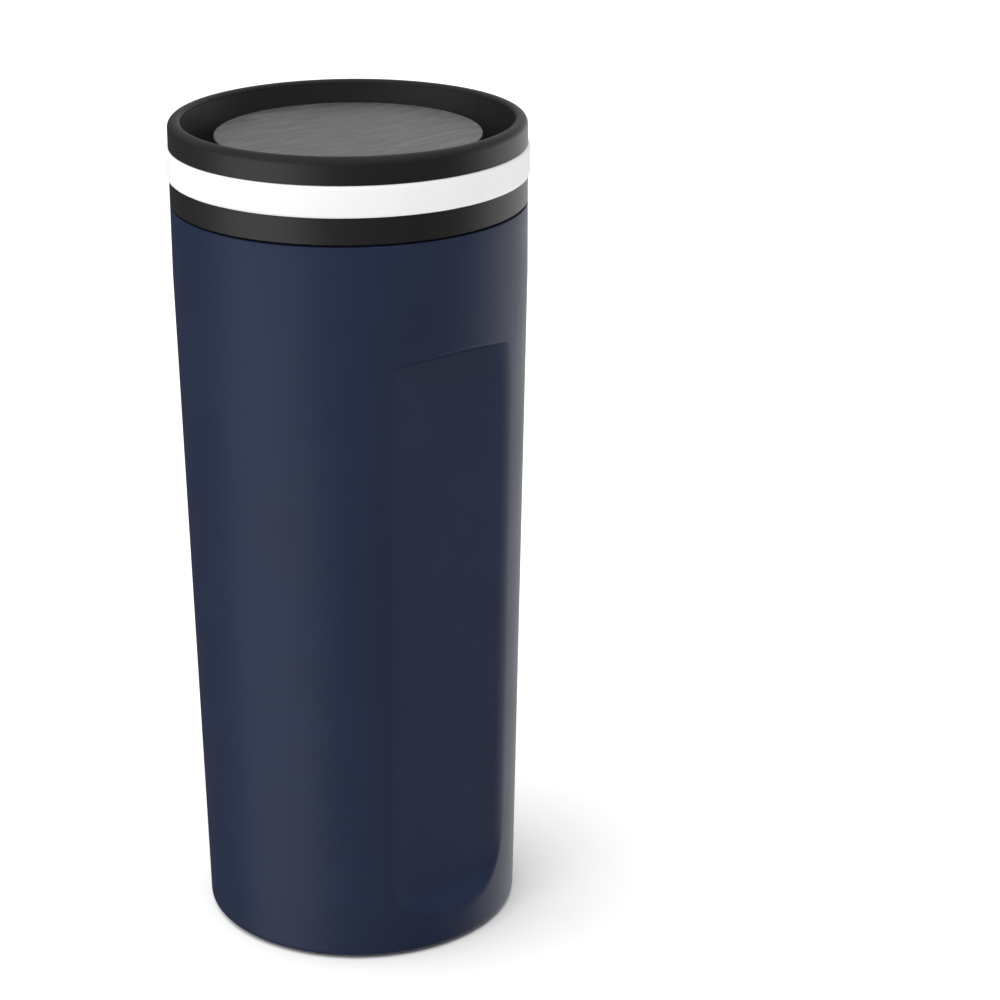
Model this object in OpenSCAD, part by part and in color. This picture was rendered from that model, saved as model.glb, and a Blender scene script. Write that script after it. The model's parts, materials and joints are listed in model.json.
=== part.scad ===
// Insulated drinking tumbler with a push-button lid that pours over its whole rim.
// The origin is the centre of the foot's face on the ground and +Z is up.
// The two grip flats face -Y and +Y. All sizes are in millimetres.

/* [Cup shell] */
// Height of the cup's rim, where the lid sits
cup_h = 171; // [150:1:210]
// Outer radius of the straight neck
top_r = 39.6; // [39:0.1:48]
// Outer radius at the bottom of the taper
base_r = 36.4; // [36:0.1:44]
// Height of the straight neck below the rim
neck_h = 16; // [12:0.5:19]
// Wall of the outer shell
shell_wall = 1.8; // [1.4:0.1:2.2]
// Rounding of the shell's bottom edge
edge_r = 1; // [0.4:0.1:1.4]
// Step from the ground up to the shell's bottom edge
foot_step = 0.8; // [0.5:0.1:1.5]

/* [Grip flats] */
// Depth of a flat at its middle
grip_depth = 3.9; // [2:0.1:4.8]
// Height where the flat meets its bottom ramp
grip_bottom = 14; // [13:0.5:22]
// Height of the bottom ramp
grip_ramp = 5.3; // [4:0.1:8]
// Distance from the rim down to the flat's top end
grip_top_gap = 27.6; // [27.1:0.1:50]
// Rise of the shelf above the flat, over the flat's depth
grip_shelf_rise = 1.7; // [0:0.1:2.5]
// Width of a flat
grip_w = 34; // [28:0.5:36]
// Corner radius at the flat's top
grip_corner = 2.5; // [2:0.5:8]
// Corner radius at the flat's lower end
grip_foot_corner = 8; // [3:0.5:12]

/* [Liner and neck] */
// Wall of the steel liner
liner_wall = 0.8; // [0.5:0.1:1]
// Clearance from the liner to the inner faces of the flats
liner_gap = 1; // [0.6:0.1:2]
// Corner radius at the liner's bottom
liner_corner = 8; // [5:0.5:12]
// Height of the threaded collar
collar_h = 21.5; // [20:0.5:24]
// Wall of the collar in the thread
collar_wall = 2.2; // [2:0.1:3]
// Height of the flat seal under the liner's flange
liner_seal_h = 1.2; // [0.8:0.1:1.6]
// Height of the shell's ledge that carries the liner
ledge_h = 2.5; // [1.5:0.1:3]

/* [Foot] */
// Width of the shell's bottom edge around the foot
shell_edge_w = 2.3; // [2:0.1:2.8]
// Thickness of the base plate
base_t = 5; // [4.5:0.1:6]
// Radius of the recess in the base plate
recess_r = 24.4; // [16:0.1:26]
// Depth of the recess
recess_depth = 3; // [2.5:0.1:3.4]
// Thickness of the badge in the recess
badge_t = 1.35; // [1:0.05:1.8]
// Groove between the badge and the recess wall
badge_gap = 1; // [0.3:0.1:1.5]
// Height of the pad under the liner
pad_h = 4; // [3:0.5:6]
// Height of the flat seal above the base plate
base_seal_h = 1.2; // [0.8:0.1:1.6]

/* [Lid] */
// Height of the lid above the cup's rim
lid_h = 19; // [17:0.5:22]
// Seam between the cup and the lid
seam = 0.3; // [0.2:0.05:0.5]
// Distance from the rim up to the grip band
band_z = 6.2; // [5:0.1:7]
// Height of the grip band
band_h = 7; // [5:0.1:8]
// Depth of the grip band's groove
band_depth = 1.2; // [0.8:0.1:1.4]
// How far the grip band stands proud
band_proud = 0.5; // [0.2:0.1:0.8]
// Width of the drinking lip
lip_w = 2.9; // [2.4:0.1:3.4]
// Wall of the plug below the thread
plug_wall = 3; // [2.6:0.1:3.2]
// Number of spokes that carry the hub
spokes = 6; // [4:1:8]
// Width of the ring of openings between the spokes
slot_w = 3.8; // [3:0.1:4.6]
// Thickness of the hub and spokes
web_t = 3; // [2:0.1:4]

/* [Thread] */
// Rise of the thread in one turn
thread_lead = 24; // [20:1:28]
// Number of thread starts
thread_starts = 4; // [3:1:4]
// Height of the lid's thread ridges
male_h = 1.6; // [1.4:0.05:1.65]
// Height of the collar's thread ridges
female_h = 1.2; // [1:0.05:1.25]

/* [Button and valve] */
// Full travel of the button
stroke = 5.5; // [3:0.1:6.6]
// Width of the trough between the lip and the button plate
trough_w = 7; // [6:0.1:8]
// Distance from the lip down to the button plate
plate_drop = 3.5; // [2.5:0.1:4.5]
// Thickness of the steel button plate
plate_t = 0.8; // [0.5:0.1:1.2]
// Wall of the button cap
cap_wall = 1.6; // [1.2:0.1:2]
// Radius of the stem
stem_r = 4; // [3.5:0.1:4.8]
// Radius of the opening that the valve closes
seat_bore_r = 21; // [16:0.1:22]
// Overlap of the valve on its seat
valve_lap = 3.6; // [2.5:0.1:4.2]
// Turn of the cam rotor in one millimetre of travel, in degrees
cam_rate = 4.5; // [3:0.1:5]
// Bore radius of the cam housing
housing_bore_r = 14; // [12:0.1:14.4]
// Wall of the cam housing
housing_wall = 2.5; // [2.2:0.1:2.6]
// Mean radius of the plunger spring
spring_r = 19.5; // [19:0.1:20]
// Wire diameter of the plunger spring
spring_wire = 1.2; // [0.8:0.1:1.4]
// Number of turns in the plunger spring
spring_turns = 5.5; // [4:0.5:6]

/* [Fits] */
// Radial clearance of a running fit
run_fit = 0.1; // [0.05:0.01:0.1]
// Clearance between pieces that pass each other
pass_gap = 0.5; // [0.3:0.05:0.6]

/* [Hidden] */
$fn = 96;
eps = 0.01;

navy = [0.165, 0.192, 0.267];
black = [0.12, 0.12, 0.125];
white = [0.93, 0.93, 0.92];
steel = [0.72, 0.73, 0.74];
clear_grey = [0.55, 0.57, 0.60];

// Cup shell
taper_top = cup_h - neck_h;
taper = (top_r - base_r) / (taper_top - foot_step);
function shell_r(z) = min(top_r, base_r + taper * (z - foot_step));
function grip_y(z) = base_r + taper * (z - foot_step) - grip_depth;
neck_bore_r = top_r - shell_wall;
base_bore_r = base_r - shell_edge_w;
base_ledge_w = 3.6;
base_ledge_h = 2;

// Neck stack, from the top down
collar_z = cup_h - collar_h;
flange_z = collar_z - liner_wall;
ledge_top = flange_z - liner_seal_h;
ledge_z = ledge_top - ledge_h;
liner_inset = grip_depth + shell_wall + liner_gap;
function liner_r(z) = base_r + taper * (z - foot_step) - liner_inset;
ledge_r = liner_r(ledge_top) + 0.8;
flange_r = neck_bore_r - 0.3;

// Foot stack, from the ground up
base_seal_top = base_t + base_seal_h;
base_ledge_top = base_seal_top + base_ledge_h;
liner_z = base_t + pad_h;

// Collar and plug
thread_root_r = neck_bore_r - collar_wall;
plug_r = thread_root_r - male_h - run_fit * 4;
gasket_r = plug_r + 0.4;
seal_bore_r = gasket_r + run_fit;
seal_bore_top = collar_z + 7;
gasket_groove = 1.1;
plug_bore_r = plug_r - plug_wall;
plug_z = collar_z + 2.5;
gasket_top = plug_z + 4;
thread_z = collar_z + 10;
seat_z = collar_z + 0.5;

// Lid
lid_top = cup_h + lid_h;
lid_z = cup_h + seam;
band_r = top_r - band_depth;
band_bottom = cup_h + band_z;
lip_in_r = top_r - lip_w;
lip_outer_edge = 1.6;
lip_inner_edge = 0.9;
lip_in_z = lid_top - lip_inner_edge;
web_top = cup_h - 5;
web_z = web_top - web_t;
funnel_z = web_top + 3;
funnel_slope = (lip_in_r - plug_bore_r) / (lip_in_z - funnel_z);
function funnel_r(z) = plug_bore_r + funnel_slope * (z - funnel_z);
core_wall = 1.8;
core_r = band_r - core_wall + 0.2;
core_in_r = plug_r + male_h;
core_top = band_bottom + 3.5;
hub_r = plug_bore_r - slot_w;
spoke_w = 4;

// Button
plate_top = lid_top - plate_drop;
plate_r = lip_in_r - trough_w;
cap_top = plate_top - plate_t;
cap_under = cap_top - 1.5;
cap_r = plate_r - 0.4;
skirt_z = web_top + stroke + 1.5;
boss_h = 4.2;
boss_r = 7;

// Mechanism
flange_t = 2;
housing_r = housing_bore_r + housing_wall;
housing_top = cap_under - stroke - 0.7;
screw_circle = hub_r - 2.8;
screws = 3;
screw_r = 1.1;
screw_head_r = 1.9;
screw_head_h = 1.6;
screw_len = 10;
washer_t = 0.6;
spring_z = web_top + flange_t + washer_t;
stem_bore_r = stem_r + run_fit;
guide_r = stem_r + 4;
guide_z = web_z - 7;
wiper_h = 2;
wiper_r = stem_r + 2;
shoulder_t = 1.5;
rotor_z = web_top + stroke + shoulder_t + 1.4;
rotor_h = 3.5;
rotor_r = housing_bore_r - pass_gap;
clip_t = 0.8;
lug_r = 1.2;
lugs = 3;
lug_z = rotor_z + rotor_h / 2;
lug_reach = housing_bore_r + 1.3;
groove_r = lug_reach + 0.4;
// Axial half width of a cam groove that leaves the lug its clearance on both flanks
cam_pitch = atan(1 / (cam_rate * PI / 180 * housing_bore_r));
groove_half = (lug_r + 0.3) / cos(cam_pitch);
groove_end = (lug_r + 0.5) / housing_bore_r * 180 / PI;

// Valve
valve_r = seat_bore_r + valve_lap;
valve_seal_h = 2.4;
valve_top = seat_z - 0.05;
valve_rim_z = valve_top - valve_seal_h;
valve_t = 2.5;
valve_boss = 2;
valve_bottom = valve_rim_z - valve_t - valve_boss;
small_screw_r = 1.5;

// Points along an arc about (cx, cz), from angle a0 to angle a1
function arc(cx, cz, r, a0, a1, n = 6) =
    [for (i = [0:n]) let (a = a0 + (a1 - a0) * i / n) [cx + r * cos(a), cz + r * sin(a)]];

module ring(r_out, r_in, z, h) {
    translate([0, 0, z]) difference() {
        cylinder(r = r_out, h = h);
        translate([0, 0, -1]) cylinder(r = r_in, h = h + 2);
    }
}

module disc(r, z, h) {
    translate([0, 0, z]) cylinder(r = r, h = h);
}

// A ridge or groove that climbs a helix. section holds its four [radius, height] corners
// from the lower inner one, by the lower outer one. rate is the height gained in one
// degree, and the ridge spans angles a0 to a1.
module helix_ridge(section, rate, a0, a1, step = 6) {
    n = ceil(abs(a1 - a0) / step);
    points = [for (i = [0:n], p = section)
        let (a = a0 + (a1 - a0) * i / n) [p[0] * cos(a), p[0] * sin(a), p[1] + rate * a]];
    sides = [for (i = [0:n - 1], j = [0:3], half = [0:1])
        let (k = 4 * i + j, m = 4 * i + (j + 1) % 4)
        half == 0 ? [k, m, k + 4] : [m, m + 4, k + 4]];
    last = 4 * n;
    ends = [[2, 1, 0], [3, 2, 0], [last, last + 1, last + 2], [last, last + 2, last + 3]];
    polyhedron(points, concat(sides, ends));
}

// The four corners of a ridge between radii r_in and r_out, with its half width at each
function ridge(r_in, r_out, half_in, half_out) =
    [[r_in, -half_in], [r_out, -half_out], [r_out, half_out], [r_in, half_in]];

// Cutter for one grip flat, moved inwards and its shelf upwards by inset, so that the wall
// keeps its thickness
module grip_cutter(inset) {
    z_top = cup_h - grip_top_gap + inset;
    z_low = grip_bottom - grip_ramp;
    reach = top_r + 5;
    ramp_end = reach - grip_y(grip_bottom);
    shelf_end = (reach - grip_y(z_top)) * grip_shelf_rise / grip_depth;
    intersection() {
        rotate([90, 0, 90]) translate([0, 0, -reach])
            linear_extrude(2 * reach) polygon([
                [inset - grip_y(grip_bottom), grip_bottom],
                [inset - grip_y(z_top), z_top],
                [inset - reach, z_top + shelf_end],
                [inset - reach, grip_bottom - grip_ramp * ramp_end / grip_depth],
            ]);
        rotate([90, 0, 0]) linear_extrude(reach + 1)
            grip_outline(z_low, z_top + grip_shelf_rise);
    }
}

// Front view of a flat, with its own corner radius at each end
module grip_outline(z_low, z_top) {
    w = grip_w / 2;
    z_mid = (z_low + z_top) / 2;
    for (end = [[grip_foot_corner, z_low, 1], [grip_corner, z_top, -1]]) {
        r = end[0];
        z = end[1];
        up = end[2];
        translate([-w, min(z + up * r, z_mid)]) square([2 * w, abs(z_mid - z) - r]);
        translate([r - w, min(z, z_mid)]) square([2 * (w - r), abs(z_mid - z)]);
        for (side = [-1, 1]) translate([side * (w - r), z + up * r]) circle(r = r);
    }
}

module both_grips(inset) {
    for (turn = [0, 180]) rotate(turn) grip_cutter(inset);
}

module outer_shell() {
    color(navy) difference() {
        rotate_extrude() polygon(concat(
            [[0, foot_step]],
            arc(shell_r(foot_step + edge_r) - edge_r, foot_step + edge_r, edge_r, -90, 0),
            [[top_r, taper_top], [top_r, cup_h], [0, cup_h]]));
        both_grips(0);
        difference() {
            rotate_extrude() polygon([
                [0, base_ledge_top],
                [shell_r(base_ledge_top) - shell_wall, base_ledge_top],
                [shell_r(ledge_z) - shell_wall, ledge_z],
                [0, ledge_z],
            ]);
            both_grips(shell_wall);
        }
        disc(base_bore_r, 0, base_seal_top);
        disc(base_bore_r - base_ledge_w, 0, base_ledge_top + 1);
        disc(ledge_r, ledge_z - 1, ledge_h + 2);
        disc(neck_bore_r, ledge_top, cup_h - ledge_top + 1);
    }
}

module inner_liner() {
    corner_z = liner_z + liner_corner;
    inner_corner = liner_corner - liner_wall;
    color(steel) rotate_extrude() polygon(concat(
        [[0, liner_z]],
        arc(liner_r(corner_z) - liner_corner, corner_z, liner_corner, -90, 0, 9),
        [[liner_r(flange_z), flange_z], [flange_r, flange_z], [flange_r, collar_z],
         [liner_r(collar_z) - liner_wall, collar_z]],
        arc(liner_r(corner_z) - liner_corner, corner_z, inner_corner, 0, -90, 9),
        [[0, liner_z + liner_wall]]));
}

module neck_collar() {
    color(black) {
        rotate_extrude() polygon([
            [seal_bore_r, collar_z], [neck_bore_r, collar_z], [neck_bore_r, cup_h],
            [thread_root_r, cup_h], [thread_root_r, seal_bore_top + 1.2],
            [seal_bore_r, seal_bore_top],
        ]);
        for (i = [0:thread_starts - 1]) rotate(i * 360 / thread_starts)
            translate([0, 0, thread_z])
                helix_ridge(ridge(thread_root_r - female_h, thread_root_r + 0.3, 0.7, 1.3),
                            thread_lead / 360, 0, 64);
    }
}

module liner_seal() {
    color(white) ring(flange_r, ledge_r + 0.6, ledge_top, liner_seal_h);
}

module base_plate() {
    color(white) rotate_extrude() polygon(concat(
        [[0, recess_depth], [recess_r, recess_depth], [recess_r, 0.3], [recess_r + 0.3, 0]],
        arc(base_bore_r - 0.1 - foot_step / 2, foot_step / 2, foot_step / 2, -90, 0, 4),
        [[base_bore_r - 0.1, base_t], [0, base_t]]));
}

module base_seal() {
    color(black) ring(base_bore_r - 0.2, base_bore_r - base_ledge_w + 0.6, base_t, base_seal_h);
}

// A plain disc with a raised ring of twelve bars
module base_badge() {
    r = recess_r - badge_gap;
    z = recess_depth - badge_t;
    color(white) {
        rotate_extrude() polygon(concat(
            [[0, z]], arc(r - 0.8, z + 0.8, 0.8, -90, 0, 5), [[r, recess_depth], [0, recess_depth]]));
        ring(r * 0.72, r * 0.67, z - 0.4, 0.6);
        for (i = [0:11]) rotate(i * 30) translate([r * 0.3, -0.5, z - 0.4]) cube([r * 0.28, 1, 0.6]);
    }
}

module liner_pad() {
    color(clear_grey) disc(liner_r(liner_z) - liner_corner - 3, base_t, pad_h);
}

module lid_gasket() {
    mid = (plug_z + gasket_top) / 2;
    lip = 0.8;
    r_low = gasket_r - 0.5;
    color(clear_grey) rotate_extrude() polygon(concat(
        [[plug_r - gasket_groove + run_fit, plug_z + 0.15], [r_low, plug_z + 0.15]],
        [for (z = [plug_z + 0.9, mid + 0.6]) each
            [[gasket_r, z], [gasket_r, z + lip / 2], [r_low, z + lip]]],
        [[r_low, gasket_top - 0.15], [plug_r - gasket_groove + run_fit, gasket_top - 0.15]]));
}

module lid_wall() {
    rotate_extrude() polygon(concat(
        [[plug_bore_r, plug_z], [plug_r - gasket_groove, plug_z],
         [plug_r - gasket_groove, gasket_top], [plug_r, gasket_top], [plug_r, lid_z],
         [top_r - 0.3, lid_z], [top_r, lid_z + 0.3], [top_r, band_bottom], [band_r, band_bottom],
         [band_r, band_bottom + band_h], [top_r, band_bottom + band_h]],
        arc(top_r - lip_outer_edge, lid_top - lip_outer_edge, lip_outer_edge, 0, 90, 8),
        arc(lip_in_r + lip_inner_edge, lip_in_z, lip_inner_edge, 90, 180, 6),
        [[plug_bore_r, funnel_z]]));
}

module lid_shell() {
    color(black) difference() {
        union() {
            lid_wall();
            disc(hub_r, web_z, web_t);
            for (i = [0:spokes - 1]) rotate(i * 360 / spokes)
                translate([hub_r - 2, -spoke_w / 2, web_z]) cube([slot_w + 3, spoke_w, web_t]);
            disc(guide_r, guide_z, web_z - guide_z + 1);
            for (i = [0:screws - 1]) rotate(i * 360 / screws)
                translate([screw_circle, 0, web_z - 6]) cylinder(r = 2.8, h = 7);
            // Half a step round from the collar's ridges, so each runs midway between two
            for (i = [0:thread_starts - 1]) rotate((i + 0.5) * 360 / thread_starts)
                translate([0, 0, thread_z])
                    helix_ridge(ridge(plug_r - 0.3, plug_r + male_h, 1.3, 0.7),
                                thread_lead / 360, 0, 56);
        }
        // Pocket behind the outer wall, open towards the cup's rim
        rotate_extrude() polygon([
            [core_in_r, lid_z - 1], [core_r, lid_z - 1], [core_r, core_top],
            [funnel_r(core_top) + core_wall, core_top],
            [core_in_r, funnel_z + (core_in_r - core_wall - plug_bore_r) / funnel_slope],
        ]);
        disc(stem_bore_r, guide_z - 1, web_top - guide_z + 2);
        disc(wiper_r, guide_z - 1, wiper_h + 1);
        for (i = [0:screws - 1]) rotate(i * 360 / screws)
            translate([screw_circle, 0, web_top - screw_len + flange_t - 0.5])
                cylinder(r = screw_r, h = screw_len, $fn = 32);
    }
}

module grip_band() {
    edge = 0.9;
    r = top_r + band_proud;
    color(white) rotate_extrude() polygon(concat(
        [[band_r, band_bottom]],
        arc(r - edge, band_bottom + edge, edge, -90, 0),
        arc(r - edge, band_bottom + band_h - edge, edge, 0, 90),
        [[band_r, band_bottom + band_h]]));
}

// Closes the plug's lower end, keeps the gasket on and is the seat of the valve
module seat_ring() {
    color(black) rotate_extrude() polygon([
        [seat_bore_r, seat_z], [plug_r, seat_z], [plug_r, plug_z],
        [plug_bore_r, plug_z], [plug_bore_r, plug_z + 5], [plug_bore_r - 1.8, plug_z + 5],
        [plug_bore_r - 1.8, plug_z], [seat_bore_r, plug_z],
    ]);
}

module cam_housing() {
    color(white) difference() {
        union() {
            disc(hub_r - 0.3, web_top, flange_t);
            disc(housing_r, web_top, housing_top - web_top);
        }
        disc(housing_bore_r, web_top - 1, housing_top - web_top + 2);
        for (i = [0:screws - 1]) rotate(i * 360 / screws)
            translate([screw_circle, 0, web_top - 1]) cylinder(r = screw_r, h = flange_t + 2, $fn = 32);
        // The grooves climb backwards, so that a falling lug turns the rotor forwards
        for (i = [0:lugs - 1]) rotate(i * 360 / lugs) translate([0, 0, lug_z])
            helix_ridge(ridge(housing_bore_r - 1, groove_r, groove_half, groove_half),
                        -1 / cam_rate, -30, cam_rate * stroke + groove_end);
    }
}

module pan_screw(r, len, head_r, head_h) {
    difference() {
        union() {
            translate([0, 0, -len]) cylinder(r = r, h = len + eps, $fn = 32);
            cylinder(r = head_r, h = head_h, $fn = 40);
        }
        for (turn = [0, 90]) rotate(turn)
            translate([-head_r * 0.6, -0.25, head_h - 0.7]) cube([head_r * 1.2, 0.5, 1]);
    }
}

module housing_screws() {
    color(steel) for (i = [0:screws - 1]) rotate(i * 360 / screws)
        translate([screw_circle, 0, web_top + flange_t])
            pan_screw(screw_r, screw_len - 0.5, screw_head_r, screw_head_h);
}

module stem_wiper() {
    color(clear_grey) ring(wiper_r, stem_bore_r, guide_z, wiper_h);
}

module spring_washer() {
    color(steel) ring(spring_r + 1.6, housing_r + 0.3, web_top + flange_t, washer_t);
}

// A round wire of eight sides, wound on a helix between the washer and the cap
module plunger_spring() {
    wire = spring_wire / 2;
    rise = cap_under - spring_z - spring_wire;
    n = ceil(spring_turns * 20);
    points = [for (i = [0:n], j = [0:7])
        let (a = 360 * spring_turns * i / n, r = spring_r + wire * cos(j * 45))
        [r * cos(a), r * sin(a), spring_z + wire + rise * i / n + wire * sin(j * 45)]];
    sides = [for (i = [0:n - 1], j = [0:7], half = [0:1])
        let (k = 8 * i + j, m = 8 * i + (j + 1) % 8)
        half == 0 ? [k, k + 8, m] : [m, k + 8, m + 8]];
    ends = concat([for (j = [1:6]) [0, j, j + 1]], [for (j = [1:6]) [8 * n, 8 * n + j + 1, 8 * n + j]]);
    color(steel) polyhedron(points, concat(sides, ends));
}

module button_plate() {
    edge = plate_t / 2;
    color(steel) rotate_extrude() polygon(concat(
        [[0, cap_top], [plate_r, cap_top]],
        arc(plate_r - edge, plate_top - edge, edge, 0, 90, 5),
        [[0, plate_top]]));
}

module button_cap() {
    color(black) difference() {
        union() {
            disc(cap_r, cap_under, cap_top - cap_under);
            ring(cap_r, cap_r - cap_wall, skirt_z, cap_top - skirt_z);
            disc(boss_r, cap_under - boss_h, boss_h + 1);
        }
        disc(stem_r, cap_under - boss_h - 1, boss_h + 1);
        disc(small_screw_r, cap_under - 1, 2);
        translate([0, 0, cap_under])
            cylinder(r1 = small_screw_r + run_fit, r2 = 3 + run_fit, h = cap_top - cap_under + eps);
    }
}

module cap_screw() {
    color(steel) difference() {
        union() {
            disc(small_screw_r, cap_under - 9, 9 + eps);
            translate([0, 0, cap_under]) cylinder(r1 = small_screw_r, r2 = 3, h = cap_top - cap_under);
        }
        for (turn = [0, 90]) rotate(turn) translate([-1.6, -0.3, cap_top - 0.8]) cube([3.2, 0.6, 1]);
    }
}

module plunger_stem() {
    color(white) difference() {
        union() {
            disc(stem_r, valve_rim_z, cap_under - valve_rim_z);
            disc(stem_r + 3, rotor_z - shoulder_t, shoulder_t);
        }
        disc(small_screw_r, cap_under - 9, 10);
        disc(small_screw_r, valve_rim_z - 1, 11);
    }
}

// Open spring clip that keeps the rotor on its shoulder
module rotor_clip() {
    color(steel) difference() {
        ring(stem_r + 2.6, stem_r, rotor_z + rotor_h, clip_t);
        translate([0, -2, rotor_z + rotor_h - 1]) cube([stem_r + 5, 4, clip_t + 2]);
    }
}

module valve_disc() {
    color(black) difference() {
        union() {
            disc(valve_r - 0.3, valve_rim_z - valve_t, valve_t);
            disc(stem_r + 3, valve_bottom, valve_boss + 1);
            disc(seat_bore_r - 1.5, valve_rim_z - eps, 1);
        }
        disc(stem_r, valve_rim_z, 2);
        disc(small_screw_r, valve_bottom - 1, valve_t + valve_boss + 2);
    }
}

module valve_seal() {
    color(clear_grey) rotate_extrude() polygon([
        [seat_bore_r - 1.5, valve_rim_z], [valve_r, valve_rim_z], [valve_r, valve_rim_z + 1.4],
        [valve_r - 1, valve_top], [seat_bore_r + 0.6, valve_top], [seat_bore_r - 1.5, valve_rim_z + 1],
    ]);
}

module valve_screw() {
    color(steel) translate([0, 0, valve_bottom]) mirror([0, 0, 1])
        pan_screw(small_screw_r, valve_t + valve_boss + 9.5, 3, 1.4);
}

module cam_rotor() {
    color(clear_grey) difference() {
        union() {
            disc(rotor_r, rotor_z, rotor_h);
            for (i = [0:lugs - 1]) rotate(i * 360 / lugs) translate([rotor_r - 2, 0, lug_z])
                rotate([0, 90, 0]) cylinder(r = lug_r, h = lug_reach - rotor_r + 2, $fn = 32);
        }
        disc(stem_bore_r, rotor_z - 1, rotor_h + 2);
        for (i = [0:5]) rotate(i * 60 + 30) translate([9, 0, rotor_z - 1])
            cylinder(r = 1.8, h = rotor_h + 2, $fn = 32);
    }
}

outer_shell();
inner_liner();
neck_collar();
liner_seal();
base_plate();
base_seal();
base_badge();
liner_pad();
lid_gasket();
lid_shell();
grip_band();
seat_ring();
cam_housing();
housing_screws();
stem_wiper();
spring_washer();
plunger_spring();
button_plate();
button_cap();
cap_screw();
plunger_stem();
rotor_clip();
valve_disc();
valve_seal();
valve_screw();
cam_rotor();
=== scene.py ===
# %% [markdown]
# # An insulated tumbler with a push-button lid
# This lesson dresses a finished CAD assembly: a tapered travel cup with two flat grip
# faces, a screw-on lid with a soft band, and a brushed steel push button. The CAD model is
# loaded as a fixed frame. Pieces whose shape is final keep their CAD mesh and only get a
# material. Pieces that need softer edges or finer curves are modelled here again, in place.
#
# The first cell loads the frame.

# %% Load the frame
import json
from math import atan, cos, degrees, hypot, pi, radians, sin, sqrt

import bpy
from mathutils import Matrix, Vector


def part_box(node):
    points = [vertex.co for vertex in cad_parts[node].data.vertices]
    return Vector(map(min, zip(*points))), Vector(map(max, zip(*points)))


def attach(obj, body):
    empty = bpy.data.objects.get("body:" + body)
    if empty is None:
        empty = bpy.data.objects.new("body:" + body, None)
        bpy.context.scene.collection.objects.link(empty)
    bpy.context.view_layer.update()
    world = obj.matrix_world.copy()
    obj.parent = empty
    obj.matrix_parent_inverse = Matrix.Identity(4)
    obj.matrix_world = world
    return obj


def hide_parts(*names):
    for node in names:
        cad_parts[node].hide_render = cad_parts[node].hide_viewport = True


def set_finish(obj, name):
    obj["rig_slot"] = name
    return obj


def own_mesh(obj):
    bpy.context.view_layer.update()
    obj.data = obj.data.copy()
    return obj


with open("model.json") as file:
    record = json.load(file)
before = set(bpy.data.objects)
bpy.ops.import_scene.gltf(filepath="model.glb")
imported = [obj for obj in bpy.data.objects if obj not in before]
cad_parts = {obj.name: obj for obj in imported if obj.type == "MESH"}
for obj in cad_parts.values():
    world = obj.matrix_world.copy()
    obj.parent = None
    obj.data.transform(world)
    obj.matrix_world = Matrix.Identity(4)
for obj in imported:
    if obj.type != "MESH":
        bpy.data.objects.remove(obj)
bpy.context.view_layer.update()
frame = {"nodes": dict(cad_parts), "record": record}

nodes = frame["nodes"]
mm = 0.001

# %% [markdown]
# ## Reading sizes from the frame
# A turned part is described by radii at heights. So a new piece lands on the CAD piece
# with no fitting.

# %% Measuring helpers
def widest(node, low, high):
    """The largest radius that a CAD node has between two heights."""
    return max(hypot(v.co.x, v.co.y) for v in nodes[node].data.vertices if low <= v.co.z <= high)


def narrowest(node, low, high):
    """The smallest radius that a CAD node has between two heights."""
    return min(hypot(v.co.x, v.co.y) for v in nodes[node].data.vertices if low <= v.co.z <= high)


def heights(node):
    """The lowest and highest height of a CAD node."""
    low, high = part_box(node)
    return low.z, high.z


shell_bottom, rim_height = heights("outer_shell")
neck_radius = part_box("outer_shell")[1].x
print("shell", shell_bottom / mm, "to", rim_height / mm, "mm, neck radius", neck_radius / mm)

# %% [markdown]
# ## The camera
# A long lens keeps the cup's sides nearly parallel. The camera stands to the front left
# corner of the model, so that the front grip face turns towards the right, and looks down
# by about twenty degrees, enough to see into the lid.

# %% Camera
camera_turn = -38.5
camera_tilt = 20.65
camera_lens = 101.5
camera_offset, camera_distance, camera_height = 33.4 * mm, 608.9 * mm, 329.3 * mm

camera_data = bpy.data.cameras.new("camera")
camera_data.lens = camera_lens
camera_data.sensor_width = 36.0
camera = bpy.data.objects.new("camera", camera_data)
bpy.context.scene.collection.objects.link(camera)
turn = radians(camera_turn)
camera.location = (
    camera_offset * cos(turn) + camera_distance * sin(turn),
    camera_offset * sin(turn) - camera_distance * cos(turn),
    camera_height,
)
camera.rotation_euler = (radians(90 - camera_tilt), 0, turn)
bpy.context.scene.camera = camera
print("camera at", camera.location)

# %% [markdown]
# ## Turning a piece
# Almost everything here is round, so one helper does a lathe's work. It starts from a
# circle primitive with one corner for each point of the outline, puts the corners on the
# outline, and spins the loop round the Z axis. An outline that starts and ends on the axis
# is cut open there first, so that no edge lies on the axis.

# %% Selecting and arcs
def deselect():
    """Leaves edit mode and deselects everything, so that an operator acts on one piece."""
    if bpy.context.object and bpy.context.object.mode != "OBJECT":
        bpy.ops.object.mode_set(mode="OBJECT")
    bpy.ops.object.select_all(action="DESELECT")


def arc(centre_r, centre_z, radius, start, end, count=8):
    """Outline points on an arc, from one angle to another in degrees."""
    angles = [radians(start + (end - start) * i / count) for i in range(count + 1)]
    return [(centre_r + radius * cos(a), centre_z + radius * sin(a)) for a in angles]


print("a quarter of a 1 mm arc:", arc(0, 0, 1, 0, 90, 2))

# %% [markdown]
# The lathe itself spins the loop all the way round, merges the last copy with the first,
# and points the faces outwards. Smooth shading comes after, with an angle that keeps real
# corners crisp.

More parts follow.
